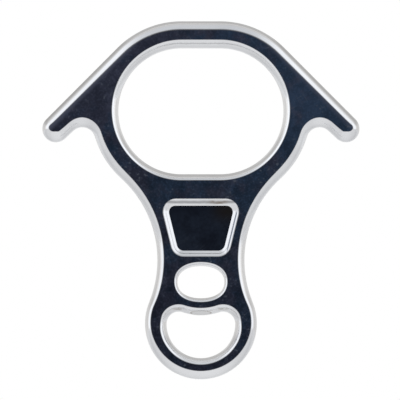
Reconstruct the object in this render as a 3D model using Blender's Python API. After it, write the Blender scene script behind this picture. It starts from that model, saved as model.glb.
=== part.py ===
"""Rescue figure eight descender with two rope ears, forged in one piece and polished.

It stands upright as it is worn on a harness: the small carabiner eye is at the bottom, the
large rope ring is above it, and an ear points out and down on each side of the ring. X runs
across the device, Y through its thickness with the front face towards -Y, and Z runs from
the eye to the ring. The origin is the centre of the eye's outer arc, at mid-thickness.
Units are metres.
"""

import math
from collections import namedtuple

import bmesh
import bpy
from mathutils import Vector

# Whole device
THICKNESS = 0.012
EYE_TO_RING = 0.0948

# Rope ring: a round opening drawn apart by a short straight at top and bottom
RING_RADIUS = 0.0282
RING_HALF_STRAIGHT = 0.00865
RING_WALL = 0.0121

# Ears: a straight top edge from the ring to a round tip, and a hook notch under it. The barb
# is the metal of the ear beyond the notch.
NOTCH_RADIUS = 0.0058
NOTCH_ANGLE = math.radians(-16.3)
EAR_BARB_WIDTH = 0.01205
EAR_TIP_ABOVE_NOTCH = 0.0051
EAR_TIP_RADIUS = 0.0060

# Neck between the ring and the eye
NECK_RADIUS = 0.0494

# Carabiner eye: a round band whose opening has a lobe at each upper side, and a bump of metal
# that hangs between the lobes
EYE_RADIUS = 0.0249
EYE_BOTTOM_WALL = 0.00937
EYE_SIDE_WALL = 0.0096
EYE_SIDE_RADIUS = 0.0067
EYE_SIDE_Z = -0.00034
EYE_SIDE_TURN = math.radians(8.9)
EYE_LOBE_RADIUS = 0.0054
EYE_BUMP_DROP = 0.0016

# Oval hole in the neck, and the flat left between it and the eye opening's rim
OVAL_HALF_WIDTH = 0.01045
OVAL_HALF_HEIGHT = 0.0072
OVAL_POWER = 2.2
OVAL_LAND = 0.00101

# Marking pocket in the front of the neck. Its outline is set by the flat left around it: to
# the ring's rim, to the oval's rim and, level with its top and bottom, to the neck's rim.
POCKET_LAND_ABOVE = 0.0085
POCKET_LAND_BELOW = 0.00275
POCKET_TOP_LAND = 0.0061
POCKET_BOTTOM_LAND = 0.00446
POCKET_FLOOR_RADIUS = 0.0032
POCKET_WALL = 0.0024
POCKET_DEPTH = 0.00155
POCKET_BREAK = math.radians(17.0)

# Width of the rounded rim, seen from the front, from the outline to the flat face
RIM_TOP = 0.0043
RIM_TOP_SIDE = 0.00405
RIM_EAR_TIP = 0.0031
RIM_EAR_TOP = 0.00425
RIM_EAR_FOOT = 0.0044
RIM_NOTCH = 0.0040
RIM_NOTCH_SIDE = 0.0033
RIM_FLANK = 0.0033
RIM_FLANK_FOOT = 0.0035
RIM_NECK = 0.0030
RIM_EYE_SIDE = 0.0026
RIM_EYE_FOOT = 0.0034
RIM_RING = 0.00295
RIM_RING_TOP = 0.00335
RIM_RING_FOOT = 0.00315
RIM_EYE_OPENING = 0.0029
RIM_EYE_OPENING_SIDE = 0.0021
RIM_EYE_OPENING_BOTTOM = 0.0032
RIM_OVAL = 0.0014
RIM_OVAL_TOP = 0.0014
RIM_OVAL_FOOT = 0.00205

# How late a rim's width changes along its outline from the side to the top or foot
RIM_POWER = 6
RIM_EAR_POWER = 2
RIM_EYE_POWER = 1.5

# Fineness of the mesh, and how often the rim width is eased along an outline
CHORD_ERROR = 0.00004
STRAIGHT_STEP = 0.009
OVAL_STEPS = 40
RIM_STEPS = 4
POCKET_STEPS = 5
SHARP_ANGLE = math.radians(24.0)
EASING_PASSES = 3

# Blends that touch two arcs stay this far from them, so that a short straight joins them
BLEND_GAP = 0.00005

# Finish: the order of the body's materials, and the look of each
RIM_SLOT = 0
FACE_SLOT = 1
RIM_COLOUR = (0.80, 0.81, 0.83)
FACE_COLOUR = (0.045, 0.060, 0.090)
RIM_ROUGHNESS = 0.12
FACE_ROUGHNESS = 0.08

# Which way an outline turns around the centre of an arc
CLOCKWISE = 1
COUNTER = -1

# On which side of an outline the open air is
OUTSIDE_METAL = 1
OPENING = -1

# An arc of an outline, which turns by side around its centre. rim is the rim's width where the
# outline runs upright, rim_top and rim_foot its width at the top and foot of the outline, and
# power how late it changes from one to the other.
Arc = namedtuple("Arc", "x z radius side rim rim_top rim_foot power")

# A point of an outline with the direction that points out of the metal
Station = namedtuple("Station", "point outward rim")


def arc(x, z, radius, side, rim=0.0, rim_top=None, rim_foot=None, power=RIM_POWER):
    rim_top = rim if rim_top is None else rim_top
    rim_foot = rim if rim_foot is None else rim_foot
    return Arc(x, z, radius, side, rim, rim_top, rim_foot, power)


def mirrored(arcs):
    """The same arcs on the other side of the device, in the order that goes on from them."""
    return [a._replace(x=-a.x) for a in reversed(arcs)]


def tangent(a, b):
    """Direction, from either centre, of the points where a straight joins arc a to arc b."""
    along = Vector((b.x - a.x, b.z - a.z))
    reach = along.length
    along = along / reach
    left = Vector((-along.y, along.x))
    lean = (a.side * a.radius - b.side * b.radius) / reach
    lean = max(-1.0, min(1.0, lean))
    return lean * along + math.sqrt(1.0 - lean * lean) * left


def arc_points(a, start, end):
    """Points on arc a from direction start to direction end, at the allowed chord error."""
    first = math.atan2(start.y, start.x)
    last = math.atan2(end.y, end.x)
    turn = (a.side * (first - last)) % math.tau
    step = 2.0 * math.acos(1.0 - CHORD_ERROR / a.radius)
    count = max(2, math.ceil(turn / step))
    points = []
    for i in range(count + 1):
        angle = first - a.side * turn * i / count
        outward = Vector((math.cos(angle), math.sin(angle)))
        point = Vector((a.x, a.z)) + a.side * a.radius * outward
        points.append((point, outward))
    return points


def rim_width(a, outward):
    """Rim width of arc a where its outline faces the direction outward."""
    end = a.rim_top if outward.y > 0.0 else a.rim_foot
    return a.rim + (end - a.rim) * abs(outward.y) ** a.power


def outline(arcs, air):
    """Closed clockwise outline through arcs, with straights between them and the air outside
    or inside it."""
    joins = [tangent(a, arcs[(i + 1) % len(arcs)]) for i, a in enumerate(arcs)]
    stretches = [arc_points(a, joins[i - 1], joins[i]) for i, a in enumerate(arcs)]
    raw = []
    for i, a in enumerate(arcs):
        following = arcs[(i + 1) % len(arcs)]
        raw += [(p, n, rim_width(a, n)) for p, n in stretches[i]]
        start, normal = stretches[i][-1]
        end = stretches[(i + 1) % len(arcs)][0][0]
        pieces = math.ceil((end - start).length / STRAIGHT_STEP)
        first, last = rim_width(a, normal), rim_width(following, normal)
        for k in range(1, pieces):
            share = k / pieces
            raw.append((start.lerp(end, share), normal, first + (last - first) * share))
    stations = []
    for i, (point, normal, rim) in enumerate(raw):
        if (point - raw[i - 1][0]).length > BLEND_GAP:
            stations.append(Station(point, air * normal, rim))
    return evened(stations)


def evened(stations):
    """The stations with the rim width eased from each stretch into the next."""
    rims = [s.rim for s in stations]
    for _ in range(EASING_PASSES):
        halfway = [(r + rims[i - 1]) / 2.0 for i, r in enumerate(rims)]
        rims = [(h + halfway[(i + 1) % len(rims)]) / 2.0 for i, h in enumerate(halfway)]
    return [s._replace(rim=r) for s, r in zip(stations, rims)]


def touching(a, b, radius):
    """Centre of a circle of this radius that nearly touches arcs a and b, on their right."""
    from_a = a.radius + radius + BLEND_GAP
    from_b = b.radius + radius + BLEND_GAP
    apart = Vector((b.x - a.x, b.z - a.z))
    reach = apart.length
    along = (from_a ** 2 - from_b ** 2 + reach ** 2) / (2.0 * reach)
    across = math.sqrt(from_a ** 2 - along ** 2)
    unit = apart / reach
    right = Vector((unit.y, -unit.x))
    return Vector((a.x, a.z)) + unit * along + right * across


def cradle(end, low_z, side, rim):
    """Arc centred on the device's middle, lowest at low_z, that touches the arc end."""
    rise = end.z - low_z
    signed = side * end.radius
    radius = (end.x ** 2 + rise ** 2 - end.radius ** 2) / (2.0 * (rise - signed))
    return arc(0.0, low_z + radius, radius, side, rim)


def ring_arc(*rims):
    """The outside of the ring, on the right of the device."""
    return arc(RING_HALF_STRAIGHT, EYE_TO_RING, RING_RADIUS + RING_WALL, CLOCKWISE, *rims)


def ring_flank():
    """The outside of the ring below the hook notch."""
    return ring_arc(RIM_FLANK, RIM_FLANK, RIM_FLANK_FOOT)


def eye_arc():
    """The outside of the eye."""
    rims = (RIM_EYE_SIDE, RIM_EYE_SIDE, RIM_EYE_FOOT, RIM_EYE_POWER)
    return arc(0.0, 0.0, EYE_RADIUS, CLOCKWISE, *rims)


def neck_arc():
    """The hollow side of the neck, on the right of the device."""
    centre = touching(eye_arc(), ring_flank(), NECK_RADIUS)
    return arc(centre.x, centre.y, NECK_RADIUS, COUNTER, RIM_NECK)


def body_outline():
    """The outside of the forging: ring, ears, hook notches, neck and eye."""
    ring_top = ring_arc(RIM_TOP_SIDE, RIM_TOP, RIM_TOP_SIDE)
    to_notch = ring_top.radius + NOTCH_RADIUS + BLEND_GAP
    notch_x = ring_top.x + to_notch * math.cos(NOTCH_ANGLE)
    notch_z = ring_top.z + to_notch * math.sin(NOTCH_ANGLE)
    notch = arc(notch_x, notch_z, NOTCH_RADIUS, COUNTER, RIM_NOTCH_SIDE, rim_foot=RIM_NOTCH)

    tip_radius = min(EAR_TIP_RADIUS, EAR_BARB_WIDTH / 2.0)
    tip_x = notch_x + NOTCH_RADIUS + EAR_BARB_WIDTH - tip_radius
    tip_z = notch_z + EAR_TIP_ABOVE_NOTCH
    rims = (RIM_EAR_TIP, RIM_EAR_TOP, RIM_EAR_FOOT, RIM_EAR_POWER)
    ear_tip = arc(tip_x, tip_z, tip_radius, CLOCKWISE, *rims)

    right = [ring_top, ear_tip, notch, ring_flank(), neck_arc()]
    return outline(right + [eye_arc()] + mirrored(right), OUTSIDE_METAL)


def ring_opening():
    """The rope opening: half circles on short straights."""
    rims = (RIM_RING, RIM_RING_TOP, RIM_RING_FOOT)
    end = arc(RING_HALF_STRAIGHT, EYE_TO_RING, RING_RADIUS, CLOCKWISE, *rims)
    return outline([end] + mirrored([end]), OPENING)


def eye_side():
    """The right side of the carabiner opening."""
    x = EYE_RADIUS - EYE_SIDE_WALL - EYE_SIDE_RADIUS
    return arc(x, EYE_SIDE_Z, EYE_SIDE_RADIUS, CLOCKWISE, RIM_EYE_OPENING_SIDE)


def eye_bottom():
    """The bottom of the carabiner opening, which runs into both sides."""
    return cradle(eye_side(), EYE_BOTTOM_WALL - EYE_RADIUS, CLOCKWISE, RIM_EYE_OPENING_BOTTOM)


def eye_lobe():
    """The right lobe of the carabiner opening, which goes on from its side."""
    side = eye_side()
    bottom = eye_bottom()
    heading = math.atan2(side.z - bottom.z, side.x - bottom.x) + EYE_SIDE_TURN
    apart = EYE_SIDE_RADIUS - EYE_LOBE_RADIUS
    x = side.x + apart * math.cos(heading)
    z = side.z + apart * math.sin(heading)
    return arc(x, z, EYE_LOBE_RADIUS, CLOCKWISE, RIM_EYE_OPENING)


def eye_opening():
    """The carabiner opening: a round bottom, two lobes and a bump between them."""
    lobe = eye_lobe()
    bump_z = lobe.z + lobe.radius - EYE_BUMP_DROP
    bump = cradle(lobe, bump_z, COUNTER, RIM_EYE_OPENING)
    right = [lobe, eye_side()]
    return outline([bump] + right + [eye_bottom()] + mirrored(right), OPENING)


def oval_z():
    """Height of the oval hole's centre."""
    lobe = eye_lobe()
    eye_rim_top = lobe.z + lobe.radius + RIM_EYE_OPENING
    return eye_rim_top + OVAL_LAND + RIM_OVAL_FOOT + OVAL_HALF_HEIGHT


def signed_power(value, power):
    return math.copysign(abs(value) ** power, value)


def oval_opening():
    """The oval hole, a slightly squared ellipse."""
    stations = []
    for i in range(OVAL_STEPS):
        angle = -math.tau * i / OVAL_STEPS
        x = signed_power(math.cos(angle), 2.0 / OVAL_POWER)
        z = signed_power(math.sin(angle), 2.0 / OVAL_POWER)
        point = Vector((OVAL_HALF_WIDTH * x, oval_z() + OVAL_HALF_HEIGHT * z))
        steep_x = signed_power(x, OVAL_POWER - 1.0) / OVAL_HALF_WIDTH
        steep_z = signed_power(z, OVAL_POWER - 1.0) / OVAL_HALF_HEIGHT
        normal = Vector((steep_x, steep_z)).normalized()
        end = RIM_OVAL_TOP if normal.y > 0.0 else RIM_OVAL_FOOT
        rim = RIM_OVAL + (end - RIM_OVAL) * normal.y ** 2
        stations.append(Station(point, OPENING * normal, rim))
    return stations


def neck_half_width(z):
    """Half the width of the neck's flat face at height z."""
    neck = neck_arc()
    return neck.x - math.sqrt(neck.radius ** 2 - (z - neck.z) ** 2) - RIM_NECK


def pocket_outline():
    """The edge of the marking pocket: a trapezoid, wider at the top, with round corners."""
    top_z = EYE_TO_RING - RING_RADIUS - RIM_RING_FOOT - POCKET_LAND_ABOVE
    bottom_z = oval_z() + OVAL_HALF_HEIGHT + RIM_OVAL_TOP + POCKET_LAND_BELOW
    height = top_z - bottom_z
    top_half_width = neck_half_width(top_z) - POCKET_TOP_LAND
    bottom_half_width = neck_half_width(bottom_z) - POCKET_BOTTOM_LAND

    corner = min(POCKET_FLOOR_RADIUS + POCKET_WALL, height / 2.0 - BLEND_GAP)
    lean = (top_half_width - bottom_half_width) / height
    spread = math.hypot(1.0, lean)
    right = [
        arc(top_half_width - corner * (spread + lean), top_z - corner, corner, CLOCKWISE),
        arc(bottom_half_width - corner * (spread - lean), bottom_z + corner, corner, CLOCKWISE),
    ]
    return outline(right + mirrored(right), OPENING)


def rim_inset(width, depth):
    """How far in from the outline a rim of this width is, at this distance from mid-thickness.

    The rim is one arc from the outline, at mid-thickness, to the edge of the flat face.
    """
    half = THICKNESS / 2.0
    radius = (width ** 2 + half ** 2) / (2.0 * width)
    return radius - math.sqrt(radius ** 2 - depth ** 2)


def pocket_profile(share):
    """Distance in from the pocket's edge and depth below the face, at a share of its wall.

    The wall is two equal arcs, one rounding over from the face and one into the floor. They
    meet the face and the floor at the break angle, which leaves a crisp line.
    """
    halfway = 0.5
    steepest = 2.0 * math.atan2(POCKET_DEPTH, POCKET_WALL) - POCKET_BREAK
    radius = POCKET_WALL / (2.0 * (math.sin(steepest) - math.sin(POCKET_BREAK)))
    to_halfway = 1.0 - abs(1.0 - share / halfway)
    turned = POCKET_BREAK + (steepest - POCKET_BREAK) * to_halfway
    across = radius * (math.sin(turned) - math.sin(POCKET_BREAK))
    down = radius * (math.cos(POCKET_BREAK) - math.cos(turned))
    if share > halfway:
        return POCKET_WALL - across, POCKET_DEPTH - down
    return across, down


def add_ring(mesh, stations, insets, y):
    """A closed ring of vertices at thickness position y, moved into the metal by insets."""
    ring = []
    for station, inset in zip(stations, insets):
        p = station.point - station.outward * inset
        ring.append(mesh.verts.new((p.x, y, p.y)))
    return ring


def bridge(mesh, first, second, material):
    """Quads between two rings with the same number of vertices."""
    for i in range(len(first)):
        face = mesh.faces.new((first[i - 1], first[i], second[i], second[i - 1]))
        face.material_index = material


def add_wall(mesh, stations):
    """The rounded rim along an outline, from the back face to the front face."""
    rings = []
    half = THICKNESS / 2.0
    for k in range(-RIM_STEPS, RIM_STEPS + 1):
        depth = half * math.sin(math.pi / 2.0 * abs(k) / RIM_STEPS)
        insets = [rim_inset(s.rim, depth) for s in stations]
        rings.append(add_ring(mesh, stations, insets, -math.copysign(depth, k)))
    for first, second in zip(rings, rings[1:]):
        bridge(mesh, first, second, RIM_SLOT)
    return rings[0], rings[-1]


def loop_edges(mesh, ring):
    return [mesh.edges.get((ring[i - 1], ring[i])) for i in range(len(ring))]


def fill(mesh, rings, material):
    """Triangles over the flat area that the rings bound."""
    edges = [edge for ring in rings for edge in loop_edges(mesh, ring)]
    made = bmesh.ops.triangle_fill(mesh, use_beauty=True, use_dissolve=False, edges=edges)
    for item in made["geom"]:
        if isinstance(item, bmesh.types.BMFace):
            item.material_index = material


def add_pocket(mesh):
    """The marking pocket's wall and floor. Returns the ring on the front face."""
    stations = pocket_outline()
    rings = []
    for k in range(POCKET_STEPS + 1):
        across, down = pocket_profile(k / POCKET_STEPS)
        insets = [-across] * len(stations)
        rings.append(add_ring(mesh, stations, insets, down - THICKNESS / 2.0))
    for first, second in zip(rings, rings[1:]):
        bridge(mesh, first, second, RIM_SLOT)
    fill(mesh, [rings[-1]], FACE_SLOT)
    return rings[0]


def metal(name, colour, roughness):
    """A polished metal of this colour."""
    material = bpy.data.materials.new(name)
    material.use_nodes = True
    shader = material.node_tree.nodes["Principled BSDF"]
    shader.inputs["Base Color"].default_value = (*colour, 1.0)
    shader.inputs["Metallic"].default_value = 1.0
    shader.inputs["Roughness"].default_value = roughness
    return material


def build_descender():
    """The whole device as one closed body."""
    mesh = bmesh.new()
    walls = [
        add_wall(mesh, body_outline()),
        add_wall(mesh, ring_opening()),
        add_wall(mesh, eye_opening()),
        add_wall(mesh, oval_opening()),
    ]
    back_rings = [back for back, front in walls]
    front_rings = [front for back, front in walls]
    pocket_ring = add_pocket(mesh)
    fill(mesh, back_rings, FACE_SLOT)
    fill(mesh, front_rings + [pocket_ring], FACE_SLOT)
    bmesh.ops.recalc_face_normals(mesh, faces=mesh.faces)

    data = bpy.data.meshes.new("descender_body")
    mesh.to_mesh(data)
    mesh.free()
    data.materials.append(metal("polished_rim", RIM_COLOUR, RIM_ROUGHNESS))
    data.materials.append(metal("mirror_face", FACE_COLOUR, FACE_ROUGHNESS))
    data.shade_smooth()
    data.set_sharp_from_angle(angle=SHARP_ANGLE)
    body = bpy.data.objects.new("descender_body", data)
    bpy.context.collection.objects.link(body)
    return body


for old in list(bpy.data.objects):
    bpy.data.objects.remove(old, do_unlink=True)
build_descender()
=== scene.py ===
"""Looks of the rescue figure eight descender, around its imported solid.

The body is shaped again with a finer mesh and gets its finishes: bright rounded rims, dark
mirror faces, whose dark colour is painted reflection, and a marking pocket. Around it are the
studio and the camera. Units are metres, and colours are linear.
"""

import math
from collections import namedtuple

import bmesh
import bpy
from mathutils import Matrix, Vector


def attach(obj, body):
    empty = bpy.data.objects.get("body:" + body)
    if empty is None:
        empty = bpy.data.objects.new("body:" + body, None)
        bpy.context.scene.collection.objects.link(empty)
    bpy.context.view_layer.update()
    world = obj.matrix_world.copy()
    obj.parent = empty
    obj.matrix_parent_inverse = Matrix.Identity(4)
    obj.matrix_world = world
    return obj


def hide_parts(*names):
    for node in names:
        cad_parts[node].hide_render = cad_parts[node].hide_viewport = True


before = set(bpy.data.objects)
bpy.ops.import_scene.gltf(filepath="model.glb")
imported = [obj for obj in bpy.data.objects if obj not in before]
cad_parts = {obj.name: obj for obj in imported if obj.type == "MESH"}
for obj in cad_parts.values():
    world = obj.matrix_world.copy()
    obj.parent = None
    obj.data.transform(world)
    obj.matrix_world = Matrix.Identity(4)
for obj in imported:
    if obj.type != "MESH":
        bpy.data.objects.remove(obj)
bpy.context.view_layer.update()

# A mask on a finish rises from 0 at a ramp's low end to 1 at its high end, or falls from 1 at a
# spot's centre to 0 at its reach.
Ramp = namedtuple("Ramp", "low high")
Spot = namedtuple("Spot", "centre reach")

# Soft noise on a finish: the size of its blobs, how far its finer detail goes, and its seed.
# Streaks have an angle about Y, a length and a width instead of one size.
Noise = namedtuple("Noise", "size detail seed")
Streaks = namedtuple("Streaks", "turn length width detail seed")

# Whole device
THICKNESS = 0.012
HALF = THICKNESS / 2.0
EYE_TO_RING = 0.0948

# Rope ring: a round opening drawn apart by a short straight at top and bottom
RING_RADIUS = 0.0282
RING_HALF_STRAIGHT = 0.00865
RING_WALL = 0.0121

# Ears: a straight top edge from the ring to a round tip, and a hook notch under it. The barb
# is the metal of the ear beyond the notch.
NOTCH_RADIUS = 0.0058
NOTCH_ANGLE = math.radians(-16.3)
EAR_BARB_WIDTH = 0.01201
EAR_TIP_ABOVE_NOTCH = 0.0051
EAR_TIP_RADIUS = 0.0060

# Neck between the ring and the eye
NECK_RADIUS = 0.0494

# Carabiner eye: a round band whose opening has a lobe at each upper side, and a bump of metal
# that hangs between the lobes
EYE_RADIUS = 0.0249
EYE_BOTTOM_WALL = 0.00937
EYE_SIDE_WALL = 0.0096
EYE_SIDE_RADIUS = 0.0067
EYE_SIDE_Z = -0.00034
EYE_SIDE_TURN = math.radians(8.9)
EYE_LOBE_RADIUS = 0.0054
EYE_BUMP_DROP = 0.0016

# Small flat ground on the front of the bump: its tilt towards the front, and its depth
EYE_FLAT_TILT = math.radians(19.0)
EYE_FLAT_DEPTH = 0.00034

# Oval hole in the neck, and the metal left between it and the eye opening's lobes
OVAL_HALF_WIDTH = 0.01045
OVAL_HALF_HEIGHT = 0.0072
OVAL_POWER = 2.2
OVAL_WALL = 0.00596

# Marking pocket in the front of the neck. Its outline is set by the flat left around it: to
# the ring's rim, to the oval's rim and, level with its top and bottom, to the neck's rim. Its
# wall rounds over from the face, for the given share of its width, and then into the floor.
# It is wider at the top.
POCKET_LAND_ABOVE = 0.0085
POCKET_LAND_BELOW = 0.00275
POCKET_TOP_LAND = 0.0061
POCKET_BOTTOM_LAND = 0.00446
POCKET_FLOOR_RADIUS = 0.0032
POCKET_WALL = 0.0024
POCKET_TOP_WALL = 0.0027
POCKET_DEPTH = 0.00155
POCKET_BREAK = math.radians(17.0)
POCKET_ROUNDING = 0.45

# Width of the bright rounded rim, seen from the front, from the outline to the dark flat face
RIM_TOP = 0.0043
RIM_TOP_SIDE = 0.00405
RIM_EAR_TIP = 0.0031
RIM_EAR_TOP = 0.00425
RIM_EAR_FOOT = 0.0044
RIM_NOTCH = 0.0040
RIM_NOTCH_SIDE = 0.0033
RIM_FLANK = 0.0033
RIM_FLANK_FOOT = 0.0035
RIM_NECK = 0.0030
RIM_EYE_SIDE = 0.0026
RIM_EYE_FOOT = 0.0034
RIM_RING = 0.00295
RIM_RING_TOP = 0.00335
RIM_RING_FOOT = 0.00315
RIM_EYE_OPENING = 0.0029
RIM_EYE_OPENING_SIDE = 0.0021
RIM_EYE_OPENING_BOTTOM = 0.0032
RIM_OVAL = 0.0014
RIM_OVAL_TOP = 0.0014
RIM_OVAL_FOOT = 0.00205

# How late a rim's width changes along its outline from the side to the top or foot
RIM_POWER = 6
RIM_EAR_POWER = 2
RIM_EYE_POWER = 1.5

# Radius of the last turn of a rim into the flat face. A rim's width ends where that turn is
# tilted by EDGE_TILT, and its bright metal fades into the face's dark over EDGE_FADE.
EDGE_RADIUS = 0.0016
EDGE_RADIUS_TOP = 0.0036
EDGE_RADIUS_EAR = 0.0022
EDGE_RADIUS_RING = 0.0016
EDGE_RADIUS_OVAL = 0.0011
EDGE_RADIUS_POCKET = 0.0012
EDGE_TILT = math.radians(7.0)
EDGE_FADE = Ramp(math.radians(2.0), math.radians(14.0))

# Fineness of the mesh, the angle from which its shading is sharp, how often the rim width is
# eased along an outline, and the gap left between arcs that nearly touch
CHORD_ERROR = 0.0000015
STRAIGHT_STEP = 0.0006
OVAL_STEPS = 160
RIM_STEPS = 12
EDGE_STEPS = 10
POCKET_STEPS = 10
SHARP_ANGLE = math.radians(14.0)
EASING_PASSES = 50
BLEND_GAP = 0.00005

# Camera: how far it is from the device, its height angle, the point it looks at, the width of
# the view there, the width of its sensor in millimetres, and how far it sees
CAMERA_DISTANCE = 3.2
CAMERA_ELEVATION = math.radians(-4.0)
AIM_X = -0.0004
AIM_Z = 0.0551
VIEW_WIDTH = 0.1784
SENSOR_WIDTH = 36.0
CAMERA_REACH = 20.0

# Floor. It glows for the camera and for what mirrors it, and the mirrored glow falls off to
# the sides and behind the device.
FLOOR_Z = -0.30
FLOOR_HALF_WIDTH = 4.0
FLOOR_COLOUR = (0.88, 0.88, 0.88)
FLOOR_CAMERA_GLOW = 0.25
FLOOR_GLOSS_GLOW = 0.17
FLOOR_SIDE_FALL = 0.07
FLOOR_SIDE_X = Ramp(0.06, 0.34)
FLOOR_BACK_FALL = 0.10
FLOOR_BACK_Y = Spot(0.45, 0.50)

# Polished rims: cloudy bright metal with the waves of hand polishing, duller along the neck
RIM_COLOUR = (0.85, 0.85, 0.862)
RIM_PALE_COLOUR = (0.90, 0.902, 0.91)
RIM_CLOUDS = Noise(0.016, 3.0, 0.0)
RIM_CLOUD_RAMP = Ramp(0.35, 0.65)
RIM_HAZE = Noise(0.005, 2.0, 4.0)
RIM_WAVES = Noise(0.004, 1.0, 9.0)
RIM_WAVE_HEIGHT = 0.000012
RIM_ROUGHNESS = 0.13
RIM_HAZE_ROUGHNESS = 0.06
NECK_ROUGHNESS = 0.10
NECK_X = Ramp(0.0165, 0.0185)
NECK_Z = Spot(0.045, 0.034)

# Painted shade along the crests of the ears, more so on the left
CREST_SHADE_COLOUR = (0.32, 0.308, 0.30)
CREST_SHADE_SHARE = 0.79
CREST_SHADE_LEFT_GAIN = 3.6
CREST_SHADE_GAP = Ramp(0.0, 0.0012)
CREST_SHADE_X = Ramp(0.018, 0.034)

# Painted highlights on the rims: the foot of the eye and of the oval hole where they face up,
# the sides of the rope ring except where they face down, and the feet of the hook notches
RIM_HIGHLIGHT_COLOUR = (0.97, 0.975, 0.985)
FOOT_UPWARD = Ramp(0.2, 0.7)
FOOT_X = Ramp(0.0165, 0.0180)
FOOT_Z = Ramp(0.026, 0.028)
RING_HIGHLIGHT_SHARE = 0.8
RING_HIGHLIGHT_GAP = Ramp(0.0036, 0.0045)
RING_HIGHLIGHT_X = Ramp(0.012, 0.028)
RING_HIGHLIGHT_UPWARD = Ramp(-0.75, -0.25)
NOTCH_HIGHLIGHT_X = Spot(0.0468, 0.0065)
NOTCH_HIGHLIGHT_Z = Spot(0.0805, 0.0090)

# Marks of the trimming in the eye's opening: a line round the flat on the front of the bump,
# and a ragged dull streak just above each lobe
TRIM_COLOUR = (0.42, 0.385, 0.34)
TRIM_LINE_PROUD = Spot(-0.00005, 0.00007)
TRIM_LINE_X = Ramp(0.0046, 0.0062)
TRIM_LINE_FRONT = Ramp(-0.0003, 0.0)
TRIM_LINE_REACH = 0.0030
TRIM_STREAK_SHARE = 0.8
TRIM_STREAK_RISE = 0.0009
TRIM_STREAK_HALF_WIDTH = 0.0009
TRIM_STREAK_HALF_LENGTH = 0.0042
TRIM_STREAK_RAGS = Noise(0.0022, 2.0, 41.0)
TRIM_STREAK_RAMP = Ramp(0.36, 0.62)

# Dark mirror faces, each a mix of a deep and a light tone of blue and of plum. These dark tones
# are painted reflection of dark surroundings on the polished metal, which also mirrors the dark
# room.
FACE_DEEP_BLUE = (0.016, 0.025, 0.041)
FACE_LIGHT_BLUE = (0.055, 0.090, 0.158)
FACE_DEEP_PLUM = (0.020, 0.023, 0.038)
FACE_LIGHT_PLUM = (0.078, 0.086, 0.132)
FACE_PATCHES = Noise(0.0075, 2.0, 6.0)
FACE_MOTTLE = Noise(0.0030, 2.0, 7.0)
FACE_WAVES = Noise(0.006, 2.0, 18.0)
FACE_WAVE_HEIGHT = 0.000010
FACE_ROUGHNESS = 0.10
FACE_PATCH_ROUGHNESS = 0.06

# The faces' hue turns to plum in clouds, more of them at the upper left and at both ends
PLUM_CLOUDS = Noise(0.010, 3.0, 2.0)
PLUM_MOTTLE = 0.5
PLUM_LEFT_GAIN = 36.0
PLUM_END_GAIN = 1.6
PLUM_MIDDLE_Z = 0.065
PLUM_RAMP = Ramp(0.66, 0.96)

# The faces' tone, painted reflection like their dark colour, rises from the eye to the ring,
# faster on the right. Patches, mottle, grain, veins, a painted glint on the right ear and a worn
# band round the ring's opening lighten it.
FACE_TONE = -0.55
TONE_RISE = 3.0
TONE_RIGHT_RISE = 14.0
TONE_NOISE = 0.7
GRAIN = Noise(0.0010, 2.0, 8.0)
GRAIN_RAMP = Ramp(0.46, 0.74)
GRAIN_TONE = 0.42
VEINS = Noise(0.0045, 2.0, 31.0)
VEIN_LEVEL = Spot(0.5, 0.035)
VEIN_PATCHES = Ramp(0.40, 0.60)
VEIN_TONE = 0.28
GLINT_X = Spot(0.047, 0.018)
GLINT_Z = Spot(0.100, 0.030)
GLINT_TONE = 0.26
WORN_GAP = Spot(0.0045, 0.0018)
WORN_Z = Spot(EYE_TO_RING, 0.018)
WORN_MOTTLE = Ramp(0.30, 0.60)
WORN_TONE = 0.35

# Painted sheen on the faces along the ears' top edges, stronger on the left
SHEEN_COLOUR = (0.16, 0.172, 0.24)
SHEEN_SHARE = 0.62
SHEEN_LEFT_GAIN = 3.2
SHEEN_GAP = Ramp(0.0038, 0.0062)
SHEEN_X = Ramp(0.020, 0.034)

# Fine specks in clusters, with more at the lower sides of the ring
# This colour also paints the dark reflection line down the pocket's right wall.
SCRATCH_AND_PAINTED_REFLECTION_COLOUR = (0.16, 0.18, 0.22)
SPECKS = Noise(0.0014, 1.0, 3.0)
SPECK_RAMP = Ramp(0.60, 0.72)
SPECK_CLUSTERS = Ramp(0.72, 0.90)
SPECK_MOTTLE = 0.5
SPECK_SHARE = 0.6
SPECK_ROUGHNESS = 0.08
MARKED_SHARE = 0.3
MARKED_X = Spot(0.032, 0.014)
MARKED_Z = Spot(0.067, 0.013)

# Hair scratches, which show in patches. The patches' seed is counted from the hairs' own.
HAIR_RAMP = Ramp(0.66, 0.74)
HAIR_PATCHES = Noise(0.018, 0.0, 1.0)
HAIR_PATCH_RAMP = Ramp(0.48, 0.62)
FACE_HAIRS = Streaks(0.5, 0.012, 0.00016, 1.0, 11.0)
FACE_CROSS_HAIRS = Streaks(-0.9, 0.009, 0.00014, 1.0, 15.0)
FACE_HAIR_SHARE = 0.5

# Pocket's wall: painted shade along its top, a dark, duller band and brown streaks, which noise
# lowers by up to the rags' height, and a painted dark reflection in a line down its right side
WALL_RAGS = Noise(0.004, 2.0, 25.0)
WALL_RAG_HEIGHT = 0.0008
WALL_SHADE_COLOUR = (0.36, 0.36, 0.37)
WALL_SHADE_SHARE = 0.9
DULL_ROUGHNESS = 0.10
WALL_SHADE_Z = Spot(0.0542, 0.0011)
BROWN_SHADE_COLOUR = (0.20, 0.14, 0.085)
BROWN_SHADE_X = Spot(0.0080, 0.0060)
BROWN_SHADE_Z = Spot(0.0542, 0.0014)
BROWN_SHADE_STREAKS = Streaks(0.0, 0.004, 0.000625, 2.0, 27.0)
BROWN_SHADE_RAMP = Ramp(0.33, 0.50)
REFLECTED_LINE_INSET = Spot(0.0008, 0.0005)
REFLECTED_LINE_MIDDLE_Z = 0.0408
REFLECTED_LINE_END = Ramp(0.0075, 0.0105)
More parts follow.
